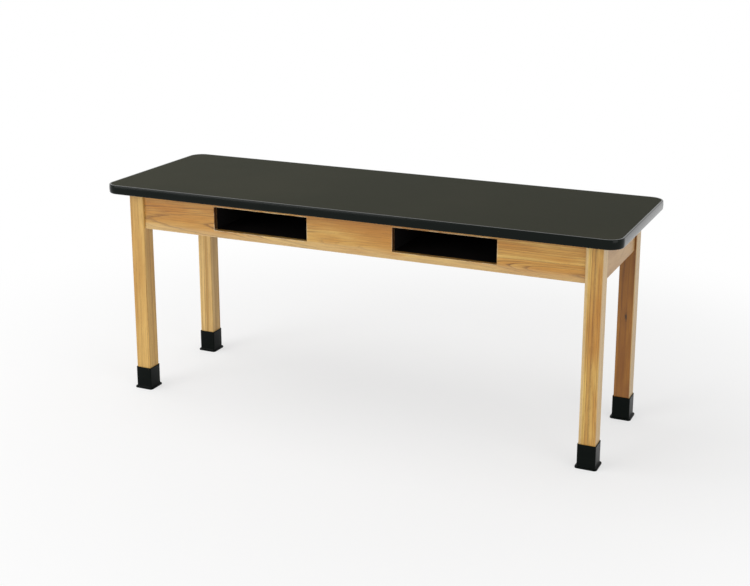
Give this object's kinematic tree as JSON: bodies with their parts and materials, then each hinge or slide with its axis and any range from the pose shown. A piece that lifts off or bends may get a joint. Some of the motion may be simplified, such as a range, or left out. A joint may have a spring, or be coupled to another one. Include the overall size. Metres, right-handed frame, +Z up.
{
  "type": "science lab table",
  "caption": "Oak lab table with a charcoal laminate top, black edge moulding, open book boxes behind the front apron and booted legs with levelling glides.",
  "frame": {"origin": "on the floor under the middle of the top", "axes": "+X along the length to the viewer's right, -Y to the front with the book boxes, +Z up"},
  "size_m": [1.829, 0.61, 0.762],
  "materials": {
    "core_board": "raw particleboard",
    "work_laminate": "satin chemical-resistant laminate",
    "backer_sheet": "matte phenolic sheet",
    "edge_vinyl": "satin black extruded vinyl",
    "oak": "clear lacquered flat-sawn oak",
    "oak_leg": "clear lacquered straight-grained oak",
    "pressed_steel": "zinc-plated pressed sheet",
    "zinc_hardware": "bright zinc plate",
    "black_screws": "black phosphate",
    "box_plastic": "fine-textured black moulding",
    "boot_rubber": "semi-matte moulded rubber",
    "pad_nylon": "moulded nylon"
  },
  "bodies": {
    "table": {"top_core": "core_board", "top_laminate": "work_laminate", "top_backer": "backer_sheet", "top_edge_moulding": "edge_vinyl", "front_apron": "oak", "back_apron": "oak", "left_apron": "oak", "right_apron": "oak", "hanger_bolts": "zinc_hardware", "hanger_bolt_washers": "zinc_hardware", "hanger_bolt_nuts": "zinc_hardware", "brace_screws": "zinc_hardware", "top_brackets": "pressed_steel", "bracket_screws": "zinc_hardware", "book_box_left": "box_plastic", "book_box_right": "box_plastic", "book_box_screws": "black_screws", "glide_inserts": "zinc_hardware", "leg_front_left": "oak_leg", "corner_brace_front_left": "pressed_steel", "boot_front_left": "boot_rubber", "leg_front_right": "oak_leg", "corner_brace_front_right": "pressed_steel", "boot_front_right": "boot_rubber", "leg_back_right": "oak_leg", "corner_brace_back_right": "pressed_steel", "boot_back_right": "boot_rubber", "leg_back_left": "oak_leg", "corner_brace_back_left": "pressed_steel", "boot_back_left": "boot_rubber"},
    "front_left_pad": {"glide_pad_front_left": "pad_nylon"},
    "front_left_stud": {"glide_stud_front_left": "zinc_hardware"},
    "front_right_pad": {"glide_pad_front_right": "pad_nylon"},
    "front_right_stud": {"glide_stud_front_right": "zinc_hardware"},
    "back_right_pad": {"glide_pad_back_right": "pad_nylon"},
    "back_right_stud": {"glide_stud_back_right": "zinc_hardware"},
    "back_left_pad": {"glide_pad_back_left": "pad_nylon"},
    "back_left_stud": {"glide_stud_back_left": "zinc_hardware"}
  },
  "joints": [
    {"name": "front_left_glide_travel", "type": "slide", "parent": "table", "child": "front_left_pad", "axis": [0, 0, -1], "range_m": [0, 0.0127]},
    {"name": "front_left_stud_turn", "type": "hinge", "parent": "front_left_pad", "child": "front_left_stud", "pos_m": [-0.822, -0.2175, 0.01], "axis": [0, 0, -1], "range_deg": [0, 2970]},
    {"name": "front_right_glide_travel", "type": "slide", "parent": "table", "child": "front_right_pad", "axis": [0, 0, -1], "range_m": [0, 0.0127]},
    {"name": "front_right_stud_turn", "type": "hinge", "parent": "front_right_pad", "child": "front_right_stud", "pos_m": [0.822, -0.2175, 0.01], "axis": [0, 0, -1], "range_deg": [0, 2970]},
    {"name": "back_right_glide_travel", "type": "slide", "parent": "table", "child": "back_right_pad", "axis": [0, 0, -1], "range_m": [0, 0.0127]},
    {"name": "back_right_stud_turn", "type": "hinge", "parent": "back_right_pad", "child": "back_right_stud", "pos_m": [0.822, 0.2175, 0.01], "axis": [0, 0, -1], "range_deg": [0, 2970]},
    {"name": "back_left_glide_travel", "type": "slide", "parent": "table", "child": "back_left_pad", "axis": [0, 0, -1], "range_m": [0, 0.0127]},
    {"name": "back_left_stud_turn", "type": "hinge", "parent": "back_left_pad", "child": "back_left_stud", "pos_m": [-0.822, 0.2175, 0.01], "axis": [0, 0, -1], "range_deg": [0, 2970]}
  ],
  "couplings": [
    {"joint": "front_left_stud_turn", "follows": "front_left_glide_travel", "rad_per_m": 3957.9},
    {"joint": "front_right_stud_turn", "follows": "front_right_glide_travel", "rad_per_m": 3957.9},
    {"joint": "back_right_stud_turn", "follows": "back_right_glide_travel", "rad_per_m": 3957.9},
    {"joint": "back_left_stud_turn", "follows": "back_left_glide_travel", "rad_per_m": 3957.9}
  ]
}
